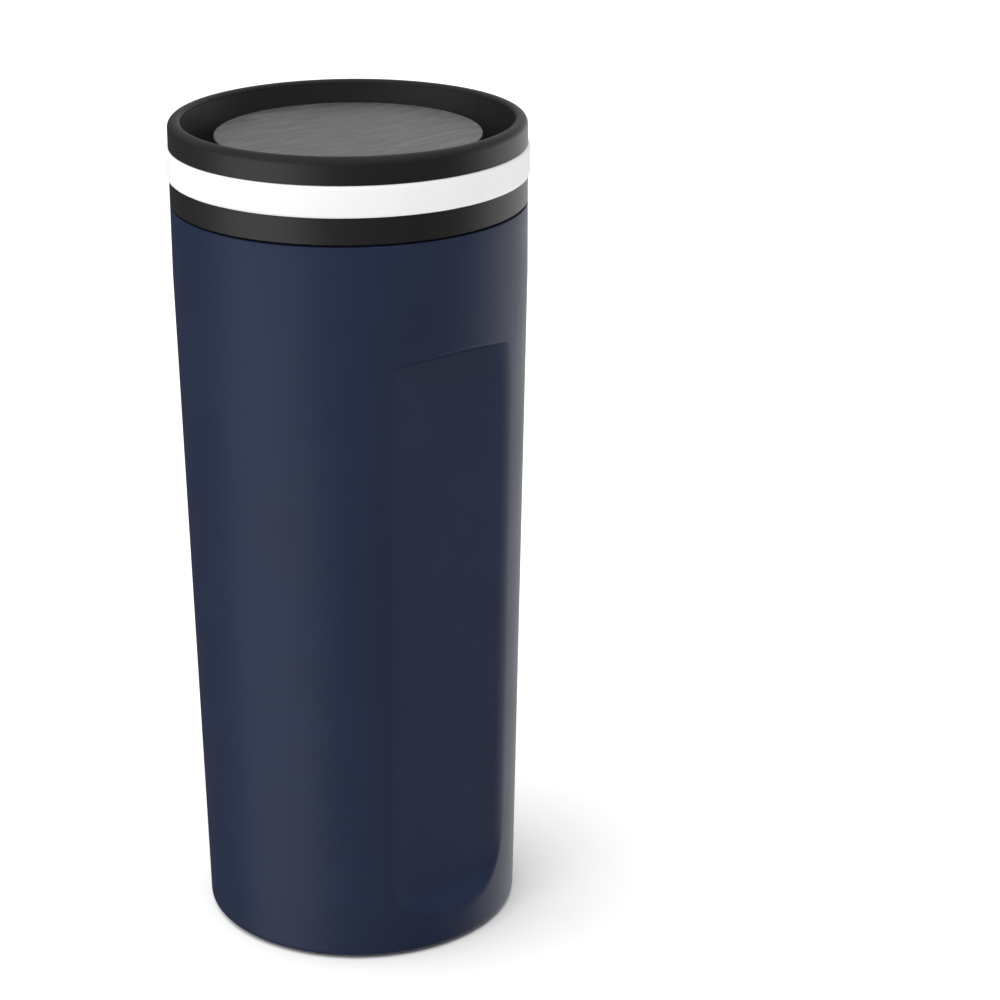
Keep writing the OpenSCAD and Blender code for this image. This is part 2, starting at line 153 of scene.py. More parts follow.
# %% The lathe
def turned(name, outline, steps=256):
    """A piece of revolution from its outline of (radius, height) points, counterclockwise."""
    deselect()
    bpy.ops.mesh.primitive_circle_add(vertices=len(outline), radius=0.01)
    piece = bpy.context.object
    piece.name = piece.data.name = name
    for vertex, (radius, height) in zip(piece.data.vertices, outline):
        vertex.co = (radius, 0, height)
    last = len(outline) - 1
    if outline[0][0] == 0 and outline[last][0] == 0:
        for edge in piece.data.edges:
            edge.select = set(edge.vertices) == {0, last}
        for vertex in piece.data.vertices:
            vertex.select = vertex.index in (0, last)
        bpy.ops.object.mode_set(mode="EDIT")
        bpy.ops.mesh.select_mode(type="EDGE")
        bpy.ops.mesh.delete(type="EDGE")
    bpy.ops.object.mode_set(mode="EDIT")
    bpy.ops.mesh.select_mode(type="VERT")
    bpy.ops.mesh.select_all(action="SELECT")
    bpy.ops.mesh.spin(steps=steps, angle=2 * pi, center=(0, 0, 0), axis=(0, 0, 1))
    bpy.ops.mesh.select_all(action="SELECT")
    bpy.ops.mesh.remove_doubles(threshold=1e-6)
    bpy.ops.mesh.normals_make_consistent(inside=False)
    bpy.ops.object.mode_set(mode="OBJECT")
    return piece


def smooth(piece, angle=35):
    """Smooth shading that keeps the edges sharper than the angle."""
    deselect()
    piece.select_set(True)
    bpy.context.view_layer.objects.active = piece
    bpy.ops.object.shade_smooth_by_angle(angle=radians(angle))
    print(piece.name, len(piece.data.vertices), "vertices")
    return piece

# %% [markdown]
# ## The shell's outline
# The shell is one moulding: a straight taper, a straight neck, a rounded bottom edge, and
# inside it a ledge for the steel liner and one for the foot. The outline goes up the
# outside and down the inside. Rings lie close together where the grip faces begin and end,
# because a pressed edge is only as sharp as the rings around it.

# %% Shell outline
edge_radius = 1.0 * mm
shell_wall = 1.8 * mm
taper_top = rim_height - 16 * mm
base_radius = widest("outer_shell", shell_bottom, shell_bottom + 1.5 * edge_radius)
taper = (neck_radius - base_radius) / (taper_top - shell_bottom)
neck_bore = narrowest("outer_shell", rim_height - 2 * mm, rim_height)
base_bore = narrowest("outer_shell", shell_bottom, shell_bottom + 1 * mm)
ledge_high = heights("liner_seal")[0]
ledge_low = ledge_high - 2.5 * mm
ledge_bore = narrowest("outer_shell", ledge_low, ledge_high)
foot_ledge_low = heights("base_seal")[1]
foot_ledge_high = foot_ledge_low + 2 * mm
foot_ledge_bore = narrowest("outer_shell", foot_ledge_low, foot_ledge_high)


def shell_radius(height):
    """Outer radius of the shell at a height."""
    return min(neck_radius, base_radius + taper * (height - shell_bottom))


def stepped(start, end, step):
    """Heights from start up to just below end, about one step apart."""
    count = max(1, round((end - start) / step))
    return [start + (end - start) * i / count for i in range(count)]


print("base radius", base_radius / mm, "mm, taper", degrees(atan(taper)), "degrees")

# %% [markdown]
# ## The grip faces
# Each grip face is a flat pressed into the cup, parallel to the tapered wall. It ends in a
# sharp shelf at the top and runs out in a soft ramp at the bottom. Cutting it with a
# boolean would leave a hard, ragged rim. Here the wall's own vertices are pushed inwards
# to the flat with a smooth minimum, which rounds the rim by as much as it is told to.

# %% Grip face shape
grip_depth = 3.9 * mm
grip_bottom = 14 * mm
grip_ramp = 5.3 * mm
grip_top = rim_height - 27.3 * mm
grip_half = 17 * mm
top_corner = 2.5 * mm
foot_corner = 8 * mm
rim_softness = 1.0 * mm
ramp_softness = 1.6 * mm
shelf_steepness = 1.8
shelf_ease = 15 * mm
ease_depth = 0.7 * mm


def corner_rise(across, corner):
    """How far a rounded end of a grip face draws back, away from its middle line."""
    past = min(max(abs(across) - (grip_half - corner), 0), corner * 0.999)
    return corner - sqrt(corner * corner - past * past)


def smooth_min(a, b, softness):
    """The smaller of two lengths, rounded where they cross."""
    mix = min(max(0.5 + 0.5 * (b - a) / softness, 0), 1)
    return b + (a - b) * mix - softness * mix * (1 - mix)


def flat_distance(across, height):
    """Distance of the grip face from the cup's axis, with its ramp and its shelf."""
    distance = base_radius + taper * (height - shell_bottom) - grip_depth
    below = grip_bottom + corner_rise(across, foot_corner) - height
    ramp = (below + sqrt(below * below + ramp_softness * ramp_softness)) / 2
    above = max(0, height - (grip_top - corner_rise(across, top_corner)))
    ease = max(0, 1 - (grip_top - height) / shelf_ease) ** 2 if height < grip_top else 1
    return distance + ramp * grip_depth / grip_ramp + above * shelf_steepness + ease * ease_depth


def press_grips(piece, is_outside, inset=0.0):
    """Pushes the chosen wall's vertices in to the two grip faces."""
    pressed = 0
    for vertex in piece.data.vertices:
        x, y, z = vertex.co
        radius = hypot(x, y)
        if not is_outside(radius, z) or abs(y) < 0.5 * radius:
            continue
        lean = abs(y) / radius
        level = z - inset
        slope = taper * inset
        across = x * (flat_distance(0, level) + slope - inset) / abs(y)
        wanted = smooth_min(radius, (flat_distance(across, level) + slope - inset) / lean, rim_softness)
        if wanted < radius - 1e-7:
            vertex.co.x *= wanted / radius
            vertex.co.y *= wanted / radius
            pressed += 1
    print(piece.name, "pressed", pressed, "vertices")

# %% [markdown]
# ## The shell
# The shell is turned first and pressed after. The inner wall is pressed before the outer
# one: once the outer wall has moved in, its vertices would pass for inner ones. Both walls
# keep one thickness, because the inner flat is the outer flat moved in by the wall.

# %% Model the shell
lip_radius = 0.3 * mm
foot_break = 0.2 * mm
ramp_from, ramp_to = grip_bottom - 8 * mm, grip_bottom + 8 * mm
corner_from = grip_top - 6 * mm
shelf_from, shelf_to = grip_top - 0.6 * mm, grip_top + 2.8 * mm
rings = stepped(shell_bottom + edge_radius, ramp_from, 0.7 * mm)
rings += stepped(ramp_from, ramp_to, 0.5 * mm)
rings += stepped(ramp_to, corner_from, 5 * mm)
rings += stepped(corner_from, shelf_from, 0.5 * mm)
rings += stepped(shelf_from, shelf_to, 0.1 * mm)
rings += stepped(shelf_to, taper_top, 1.5 * mm)
rings += stepped(taper_top, rim_height - 0.4 * mm, 3 * mm)
cavity = [ledge_low - (ledge_low - foot_ledge_high) * i / 40 for i in range(41)]

shell_outline = [(base_bore, shell_bottom + foot_break), (base_bore + foot_break, shell_bottom)]
shell_outline += arc(base_radius - edge_radius, shell_bottom + edge_radius, edge_radius, -90, 0)[:-1]
shell_outline += [(shell_radius(z), z) for z in rings]
shell_outline += arc(neck_radius - lip_radius, rim_height - lip_radius, lip_radius, 0, 90, 4)
shell_outline += [(neck_bore, rim_height), (neck_bore, ledge_high), (ledge_bore, ledge_high),
                  (ledge_bore, ledge_low)]
shell_outline += [(shell_radius(z) - shell_wall, z) for z in cavity]
shell_outline += [(foot_ledge_bore, foot_ledge_high), (foot_ledge_bore, foot_ledge_low),
                  (base_bore, foot_ledge_low)]
shell = turned("cup_shell", shell_outline, steps=360)
near_wall = 0.3 * mm
press_grips(shell, lambda r, z: foot_ledge_high <= z <= ledge_low
            and abs(r - shell_radius(z) + shell_wall) < near_wall, inset=shell_wall)
near_skin = 0.5 * mm
press_grips(shell, lambda r, z: r > shell_radius(z) - near_skin)
smooth(shell, 40)
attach(shell, "cup")
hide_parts("outer_shell")
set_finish(shell, "navy_shell")

# %% [markdown]
# ## The soft band
# A band of white silicone sits in a groove of the lid and stands half a millimetre proud,
# so its edges catch the light. A ring with rounded outer edges is enough.

# %% Model the soft band
band_low, band_high = heights("grip_band")
band_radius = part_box("grip_band")[1].x
band_bore = narrowest("grip_band", band_low, band_high)
band_edge = 0.9 * mm
band_outline = [(band_bore, band_low)]
band_outline += arc(band_radius - band_edge, band_low + band_edge, band_edge, -90, 0)
band_outline += arc(band_radius - band_edge, band_high - band_edge, band_edge, 0, 90)
band_outline += [(band_bore, band_high)]
band = smooth(turned("soft_band", band_outline, steps=320))
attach(band, "lid")
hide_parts("grip_band")
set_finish(band, "white_silicone")

# %% [markdown]
# ## The steel button plate
# The plate is a stamped disc with a rolled edge, glued on the button cap. Its rim catches
# a thin bright line, so the edge gets its own arc. A very slight crown keeps the reflection
# from looking like a mirror's.

# %% Model the button plate
plate_low, plate_high = heights("button_plate")
plate_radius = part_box("button_plate")[1].x
plate_edge = 0.45 * mm
crown_drop = 0.12 * mm
plate_break = 0.15 * mm
plate_outline = [(0, plate_low), (plate_radius - plate_break, plate_low),
                 (plate_radius, plate_low + plate_break)]
plate_outline += arc(plate_radius - plate_edge, plate_high - crown_drop - plate_edge, plate_edge, 0, 90)
plate_outline += [(plate_radius * share, plate_high - crown_drop * share * share)
                  for share in (0.8, 0.6, 0.4, 0.2)]
plate_outline += [(0, plate_high)]
plate = smooth(turned("steel_plate", plate_outline, steps=256), 30)
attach(plate, "button")
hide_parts("button_plate")
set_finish(plate, "brushed_steel")

# %% [markdown]
# ## The foot ring
# The cup stands on a ring of white plastic. The ring closes the bottom of the double wall
# and has a shallow recess in its middle. Its outer edge is rounded more than the recess's
# edge, because it is the one that hits the table first.

# %% Model the foot ring
foot_low, foot_high = heights("base_plate")
foot_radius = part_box("base_plate")[1].x
recess_radius = narrowest("base_plate", foot_low + 0.2 * mm, foot_low + 1 * mm)
recess_top = heights("base_badge")[1]
foot_edge = 0.8 * mm
recess_edge = 0.5 * mm
foot_outline = [(0, recess_top), (recess_radius, recess_top)]
foot_outline += arc(recess_radius + recess_edge, foot_low + recess_edge, recess_edge, 180, 270, 6)
foot_outline += arc(foot_radius - foot_edge, foot_low + foot_edge, foot_edge, -90, 0, 8)
foot_outline += [(foot_radius, foot_high), (0, foot_high)]
foot = smooth(turned("foot_ring", foot_outline, steps=256))
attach(foot, "cup")
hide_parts("base_plate")
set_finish(foot, "white_plastic")

# %% [markdown]
# ## The badge
# A disc with a pillowed edge sits in the recess, with a narrow groove round it. It carries
# a raised ring and twelve raised bars. The disc and the ring are turned, and the ring's
# corners are broken, so that they catch a little light.

# %% Turn the badge and its ring
badge_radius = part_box("base_badge")[1].x
badge_lowest = heights("base_badge")[0]
emboss = 0.4 * mm
badge_face = badge_lowest + emboss
pillow = 1.2 * mm
badge_outline = [(0, badge_face), (badge_radius * 0.5, badge_face)]
badge_outline += arc(badge_radius - pillow, badge_face + pillow, pillow, -90, 0, 8)
badge_outline += [(badge_radius, recess_top), (0, recess_top)]
badge = turned("badge_disc", badge_outline, steps=192)

ring_outer = badge_radius * 0.72
ring_inner = badge_radius * 0.67
ring_break = 0.12 * mm
sunk = badge_face + 0.1 * mm
ring_outline = [(ring_inner, sunk), (ring_inner, badge_lowest + ring_break),
                (ring_inner + ring_break, badge_lowest), (ring_outer - ring_break, badge_lowest),
                (ring_outer, badge_lowest + ring_break), (ring_outer, sunk)]
raised = [turned("badge_ring", ring_outline, steps=192)]
print("the ring stands", emboss / mm, "mm proud of the badge")

# %% [markdown]
# The twelve bars are one shape. A cube is added at the first bar's place and size, and all
# its edges are bevelled. Eleven copies follow, each turned a twelfth further round the axis
# and applied, and everything is joined to the disc, because it is one moulding.

# %% Model the bars
bar_count = 12
bar_length, bar_width, bar_height = badge_radius * 0.28, 1 * mm, sunk - badge_lowest
bar_middle = badge_radius * 0.44
deselect()
bpy.ops.mesh.primitive_cube_add(size=1, location=(bar_middle, 0, badge_lowest + bar_height / 2),
                                scale=(bar_length, bar_width, bar_height))
bpy.ops.object.transform_apply(location=True, rotation=True, scale=True)
bpy.ops.object.mode_set(mode="EDIT")
bpy.ops.mesh.select_all(action="SELECT")
bpy.ops.mesh.bevel(offset=ring_break, segments=2)
bpy.ops.object.mode_set(mode="OBJECT")
raised.append(bpy.context.object)
for number in range(bar_count - 1):
    bpy.ops.object.duplicate()
    bpy.ops.transform.rotate(value=2 * pi / bar_count, orient_axis="Z", center_override=(0, 0, 0))
    bpy.ops.object.transform_apply(location=True, rotation=True, scale=True)
    raised.append(bpy.context.object)
deselect()
for piece in raised:
    piece.select_set(True)
badge.select_set(True)
bpy.context.view_layer.objects.active = badge
bpy.ops.object.join()
smooth(badge)
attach(badge, "cup")
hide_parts("base_badge")
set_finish(badge, "white_plastic")

# %% [markdown]
# ## The spring
# A coil spring is a circle swept along a helix. The helix is worked out by a loop, as a
# poly curve with a round bevel, and made a mesh. Its ends are closed coils: the pitch is
# small over the first and last turn.

# %% The helix
spring_low, spring_high = heights("plunger_spring")
spring_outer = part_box("plunger_spring")[1].x
wire = 1.2 * mm
coil_turns = 5.5
coil_radius = spring_outer - wire / 2


def coil_height(share):
    """Share of the free height that the wire has climbed at a share of its length."""
    end_share = 1 / coil_turns
    closed = 0.55 * wire / (spring_high - spring_low - wire)
    if share < end_share:
        return closed * share / end_share * (1 + share / end_share)
    if share > 1 - end_share:
        return 1 - coil_height(1 - share)
    middle = (share - end_share) / (1 - 2 * end_share)
    return 2 * closed + (1 - 4 * closed) * middle


print("the wire starts at", coil_height(0), "and ends at", coil_height(1), "of the height")

# %% [markdown]
# The curve's bevel gives it the wire's thickness, and closed caps end it. Convert makes it

# %% Model the spring
points_per_turn = 48
coil_points = round(coil_turns * points_per_turn)
curve = bpy.data.curves.new("lid_spring", "CURVE")
curve.dimensions = "3D"
curve.bevel_depth = wire / 2
curve.bevel_resolution = 3
curve.use_fill_caps = True
spline = curve.splines.new("POLY")
spline.points.add(coil_points)
for index, point in enumerate(spline.points):
    share = index / coil_points
    angle = 2 * pi * coil_turns * share
    height = spring_low + wire / 2 + (spring_high - spring_low - wire) * coil_height(share)
    point.co = (coil_radius * cos(angle), coil_radius * sin(angle), height, 1)
spring = bpy.data.objects.new("lid_spring", curve)
bpy.context.scene.collection.objects.link(spring)
deselect()
spring.select_set(True)
bpy.context.view_layer.objects.active = spring
bpy.ops.object.convert(target="MESH")
spring = smooth(bpy.context.object, 60)
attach(spring, "lid")
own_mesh(spring)
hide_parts("plunger_spring")
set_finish(spring, "fastener_steel")

# %% [markdown]
# ## Building materials
# Every finish is a Principled shader fed by procedural textures in Object coordinates, so
# the pattern stays on the piece and needs no UV map. Three effects come back in many of
# them, and each is a node group: the fine grain of a moulded or sprayed face, brushed
# lines, and the rubbed edges of a used cup.

# %% Node helpers
def socket(group, name, way, kind="NodeSocketFloat", default=None):
    """A named input or output of a node group."""
    made = group.interface.new_socket(name=name, in_out=way, socket_type=kind)
    if default is not None:
        made.default_value = default
    return made


def add(tree, kind, **settings):
    """A node with its settings."""
    node = tree.nodes.new(kind)
    for name, value in settings.items():
        setattr(node, name, value)
    return node


def calc(tree, operation, a, b=None, clamp=False):
    """A math node; a and b are sockets or numbers. Gives its result socket."""
    node = tree.nodes.new("ShaderNodeMath")
    node.operation = operation
    node.use_clamp = clamp
    for slot_index, value in enumerate((a, b)):
        if value is None:
            continue
        if isinstance(value, (int, float)):
            node.inputs[slot_index].default_value = value
        else:
            tree.links.new(value, node.inputs[slot_index])
    return node.outputs[0]


def ranged(tree, value, low, high, to_low, to_high):
    """Maps a value from one range to another, clamped."""
    node = tree.nodes.new("ShaderNodeMapRange")
    tree.links.new(value, node.inputs["Value"])
    for name, number in (("From Min", low), ("From Max", high), ("To Min", to_low), ("To Max", to_high)):
        if isinstance(number, (int, float)):
            node.inputs[name].default_value = number
        else:
            tree.links.new(number, node.inputs[name])
    return node.outputs["Result"]


print("helpers ready:", [f.__name__ for f in (socket, add, calc, ranged)])

# %% [markdown]
# ## Fine grain
# Moulded plastic copies the fine texture of its mould, and a sprayed coat dries with a
# grain of its own. One small noise gives the bumps and speckles; a large one gives clouds
# of tone, because no real face is the same all over. Size is the grain in millimetres.

# %% Group: fine grain
grain = bpy.data.node_groups.new("fine grain", "ShaderNodeTree")
socket(grain, "Size", "INPUT", default=0.4)
socket(grain, "Depth", "INPUT", default=0.01)
socket(grain, "Normal", "OUTPUT", "NodeSocketVector")
socket(grain, "Speckle", "OUTPUT")
socket(grain, "Cloud", "OUTPUT")
g_in = grain.nodes.new("NodeGroupInput")
g_out = grain.nodes.new("NodeGroupOutput")
place = grain.nodes.new("ShaderNodeTexCoord")
per_metre = calc(grain, "DIVIDE", 1000, g_in.outputs["Size"])
fine = add(grain, "ShaderNodeTexNoise", noise_dimensions="3D")
fine.inputs["Detail"].default_value = 3
fine.inputs["Roughness"].default_value = 0.6
grain.links.new(place.outputs["Object"], fine.inputs["Vector"])
grain.links.new(per_metre, fine.inputs["Scale"])
cloud = add(grain, "ShaderNodeTexNoise", noise_dimensions="3D")
cloud.inputs["Scale"].default_value = 45
cloud.inputs["Detail"].default_value = 4
grain.links.new(place.outputs["Object"], cloud.inputs["Vector"])
bump = grain.nodes.new("ShaderNodeBump")
bump.inputs["Strength"].default_value = 1
grain.links.new(calc(grain, "MULTIPLY", g_in.outputs["Depth"], 0.001), bump.inputs["Distance"])
grain.links.new(fine.outputs["Fac"], bump.inputs["Height"])
grain.links.new(bump.outputs["Normal"], g_out.inputs["Normal"])
grain.links.new(ranged(grain, fine.outputs["Fac"], 0.3, 0.7, 0, 1), g_out.inputs["Speckle"])
grain.links.new(ranged(grain, cloud.outputs["Fac"], 0.3, 0.7, 0, 1), g_out.inputs["Cloud"])
print(grain.name, "gives", [s.name for s in g_out.inputs if s.name])

# %% [markdown]
# ## Brushed lines
# Brushing leaves thousands of scratches of many widths. The material hands in coordinates
# that are already stretched along the stroke, so that one noise with several octaves
# becomes long lines. The group gives their tone and their bumps.

# %% Group: brushed lines
brush = bpy.data.node_groups.new("brushed lines", "ShaderNodeTree")
socket(brush, "Vector", "INPUT", "NodeSocketVector")
socket(brush, "Depth", "INPUT", default=0.004)
socket(brush, "Normal", "OUTPUT", "NodeSocketVector")
socket(brush, "Line", "OUTPUT")
b_in = brush.nodes.new("NodeGroupInput")
b_out = brush.nodes.new("NodeGroupOutput")
lines = add(brush, "ShaderNodeTexNoise", noise_dimensions="3D")
lines.inputs["Scale"].default_value = 1
lines.inputs["Detail"].default_value = 5
lines.inputs["Roughness"].default_value = 0.65
brush.links.new(b_in.outputs["Vector"], lines.inputs["Vector"])
bump = brush.nodes.new("ShaderNodeBump")
brush.links.new(calc(brush, "MULTIPLY", b_in.outputs["Depth"], 0.001), bump.inputs["Distance"])
brush.links.new(lines.outputs["Fac"], bump.inputs["Height"])
brush.links.new(bump.outputs["Normal"], b_out.inputs["Normal"])
brush.links.new(ranged(brush, lines.outputs["Fac"], 0.36, 0.64, 0, 1), b_out.inputs["Line"])
print(brush.name, "gives", [s.name for s in b_out.inputs if s.name])

# %% [markdown]
# ## Rubbed edges
# Hands and dishwashers polish the edges of plastic first. The Bevel node turns the normal
# near an edge, so the difference from the true normal marks the edges. A noise breaks the
# mark up, because wear is never even.

# %% Group: rubbed edges
rubbed = bpy.data.node_groups.new("rubbed edges", "ShaderNodeTree")
socket(rubbed, "Width", "INPUT", default=0.5)
socket(rubbed, "Mask", "OUTPUT")
r_in = rubbed.nodes.new("NodeGroupInput")
r_out = rubbed.nodes.new("NodeGroupOutput")
rounded = add(rubbed, "ShaderNodeBevel", samples=6)
rubbed.links.new(calc(rubbed, "MULTIPLY", r_in.outputs["Width"], 0.001), rounded.inputs["Radius"])
geometry = rubbed.nodes.new("ShaderNodeNewGeometry")
dot = add(rubbed, "ShaderNodeVectorMath", operation="DOT_PRODUCT")
rubbed.links.new(rounded.outputs["Normal"], dot.inputs[0])
rubbed.links.new(geometry.outputs["Normal"], dot.inputs[1])
place = rubbed.nodes.new("ShaderNodeTexCoord")
patches = add(rubbed, "ShaderNodeTexNoise", noise_dimensions="3D")
patches.inputs["Scale"].default_value = 380
rubbed.links.new(place.outputs["Object"], patches.inputs["Vector"])
edge_mask = ranged(rubbed, dot.outputs["Value"], 0.99, 0.86, 0, 1)
broken = ranged(rubbed, patches.outputs["Fac"], 0.42, 0.66, 0, 1)
rubbed.links.new(calc(rubbed, "MULTIPLY", edge_mask, broken), r_out.inputs["Mask"])
print("node groups:", [g.name for g in bpy.data.node_groups])

# %% [markdown]
# ## Putting a finish together
# The shader stays in the material, and its plain values are set on it directly. A group is
# dropped in for each effect. Blending two close tones by the mask keeps the colour alive
# without a pattern that can be seen.

# %% Material helpers
def finish(name, roughness, metallic=0.0):
    """A new material with its Principled shader set to plain values."""
    material = bpy.data.materials.new(name)
    material.use_nodes = True
    shader = material.node_tree.nodes["Principled BSDF"]
    shader.inputs["Roughness"].default_value = roughness
    shader.inputs["Metallic"].default_value = metallic
    return material, material.node_tree, shader


def effect(tree, group, **values):
    """A group placed in a material, with its named inputs set."""
    node = tree.nodes.new("ShaderNodeGroup")
    node.node_tree = group
    for name, value in values.items():
        node.inputs[name].default_value = value
    return node


def blended(tree, factor, first, second):
    """A colour that goes from one to another with a factor. Gives its socket."""
    node = add(tree, "ShaderNodeMix", data_type="RGBA")
    tree.links.new(factor, node.inputs["Factor"])
    for name, colour in (("A", first), ("B", second)):
        target = [s for s in node.inputs if s.name == name and s.type == "RGBA"][0]
        if isinstance(colour, tuple):
            target.default_value = (*colour, 1)
        else:
            tree.links.new(colour, target)
    return [s for s in node.outputs if s.type == "RGBA"][0]


print("material helpers ready")

# %% [markdown]
# ## Moulded and sprayed finishes
# One recipe serves every plastic here. What differs is the pair of tones, the range of
# roughness, the size and depth of the grain, the strength of the gloss, and whether the
# edges are rubbed.

# %% Moulded finish
def moulded(name, dark, light, rough, size, depth, gloss=0.5, worn=None, worn_width=0.5):
    """A moulded or sprayed finish: fine grain, soft clouds of tone, and rubbed edges."""
    material, tree, shader = finish(name, rough[0])
    skin = effect(tree, grain, Size=size, Depth=depth)
    tone = calc(tree, "ADD", calc(tree, "MULTIPLY", skin.outputs["Speckle"], 0.45),
                calc(tree, "MULTIPLY", skin.outputs["Cloud"], 0.55), clamp=True)
    colour = blended(tree, tone, dark, light)
    if worn:
        wear = effect(tree, rubbed, Width=worn_width)
        colour = blended(tree, wear.outputs["Mask"], colour, worn)
    tree.links.new(colour, shader.inputs["Base Color"])
    tree.links.new(ranged(tree, tone, 0, 1, rough[0], rough[1]), shader.inputs["Roughness"])
    tree.links.new(skin.outputs["Normal"], shader.inputs["Normal"])
    shader.inputs["Specular IOR Level"].default_value = gloss
    return material


print("moulded finish ready")

# %% [markdown]
# ## Plastics and silicone
# The shell is sprayed with a soft-touch navy coat: satin, with a grain so fine that it only
# softens the highlights. The lid is black moulded plastic with a slightly deeper grain.
# Silicone is matt, and lets a little light in, which keeps its shadows bright.

# %% Plastic and silicone finishes
navy_coat = moulded("navy soft-touch coat", (0.0112, 0.0190, 0.0480), (0.0148, 0.0238, 0.0580),
                    (0.40, 0.48), 0.35, 0.010, gloss=0.25)
black_moulding = moulded("black moulding", (0.0085, 0.0085, 0.0087), (0.0125, 0.0125, 0.0127),
                         (0.36, 0.46), 0.30, 0.012, worn=(0.022, 0.022, 0.023), worn_width=0.4)
white_silicone = moulded("white silicone", (0.84, 0.84, 0.835), (0.90, 0.90, 0.90),
                         (0.55, 0.68), 0.45, 0.015)
white_moulding = moulded("white moulding", (0.62, 0.62, 0.63), (0.70, 0.70, 0.71),
                         (0.42, 0.52), 0.30, 0.010, worn=(0.80, 0.80, 0.80))
acetal = moulded("natural acetal", (0.66, 0.65, 0.61), (0.74, 0.73, 0.70),
                 (0.30, 0.42), 0.5, 0.006, worn=(0.82, 0.82, 0.80), worn_width=0.3)
black_rubber = moulded("black rubber", (0.012, 0.012, 0.012), (0.022, 0.022, 0.023),
                       (0.6, 0.75), 0.35, 0.02)
clear_silicone = moulded("clear silicone", (0.50, 0.53, 0.56), (0.62, 0.65, 0.68),
                         (0.35, 0.48), 0.6, 0.008)
for material, weight, depth in ((white_silicone, 0.25, 1.2), (clear_silicone, 0.5, 2.5),
                                (acetal, 0.15, 0.8)):
    shader = material.node_tree.nodes["Principled BSDF"]
    shader.inputs["Subsurface Weight"].default_value = weight
    shader.inputs["Subsurface Radius"].default_value = (1, 1, 1)
    shader.inputs["Subsurface Scale"].default_value = depth * mm
clear_silicone.node_tree.nodes["Principled BSDF"].inputs["Transmission Weight"].default_value = 0.35
print("plastics:", [m.name for m in bpy.data.materials])

# %% [markdown]
# ## Steel
# The button plate is brushed in one direction: noise stretched along the stroke, bent a
# little by a slower noise, because a hand or a belt never runs quite straight. The liner is
# spun, so its lines run round it; the pattern's coordinates are its angle, radius and
# height. Small turned parts share the same spun finish with finer lines.

# %% Straight brushed steel
wander_reach = 3 * mm
stroke_length, stroke_width = 9 * mm, 0.3 * mm


def straight_brushed(name, colour, rough, stroke_turn):
    """Steel brushed along one direction, at an angle from the X axis."""
    material, tree, shader = finish(name, rough[0], metallic=1.0)
    place = tree.nodes.new("ShaderNodeTexCoord")
    wander = add(tree, "ShaderNodeTexNoise", noise_dimensions="3D")
    wander.inputs["Scale"].default_value = 28
    wander.inputs["Detail"].default_value = 1
    tree.links.new(place.outputs["Object"], wander.inputs["Vector"])
    bend = add(tree, "ShaderNodeVectorMath", operation="MULTIPLY_ADD")
    bend.inputs[1].default_value = (wander_reach, wander_reach, 0)
    tree.links.new(wander.outputs["Color"], bend.inputs[0])
    tree.links.new(place.outputs["Object"], bend.inputs[2])
    stretch = tree.nodes.new("ShaderNodeMapping")
    stretch.vector_type = "TEXTURE"
    stretch.inputs["Rotation"].default_value = (0, 0, radians(stroke_turn))
    stretch.inputs["Scale"].default_value = (stroke_length, stroke_width, stroke_length)
    tree.links.new(bend.outputs["Vector"], stretch.inputs["Vector"])
    hair = effect(tree, brush, Depth=0.04)
    tree.links.new(stretch.outputs["Vector"], hair.inputs["Vector"])
    line = hair.outputs["Line"]
    groove_tone = tuple(c * 0.42 for c in colour)
    tree.links.new(blended(tree, line, groove_tone, colour), shader.inputs["Base Color"])
    stroke = add(tree, "ShaderNodeVectorTransform", vector_type="VECTOR",
                 convert_from="OBJECT", convert_to="WORLD")
    stroke.inputs[0].default_value = (cos(radians(stroke_turn)), sin(radians(stroke_turn)), 0)
    tree.links.new(stroke.outputs[0], shader.inputs["Tangent"])
    shader.inputs["Anisotropic"].default_value = 0.6
    tree.links.new(ranged(tree, line, 0, 1, rough[0], rough[1]), shader.inputs["Roughness"])
    tree.links.new(hair.outputs["Normal"], shader.inputs["Normal"])
    return material


plate_steel = straight_brushed("brushed plate steel", (0.66, 0.66, 0.67), (0.30, 0.44), 3)
print("straight:", plate_steel.name)

# %% [markdown]
# On spun steel the tangent turns with the piece, so that the highlight fans out from the
# axis as it does on the bottom of a pan. The tangent is the radius turned by a quarter.

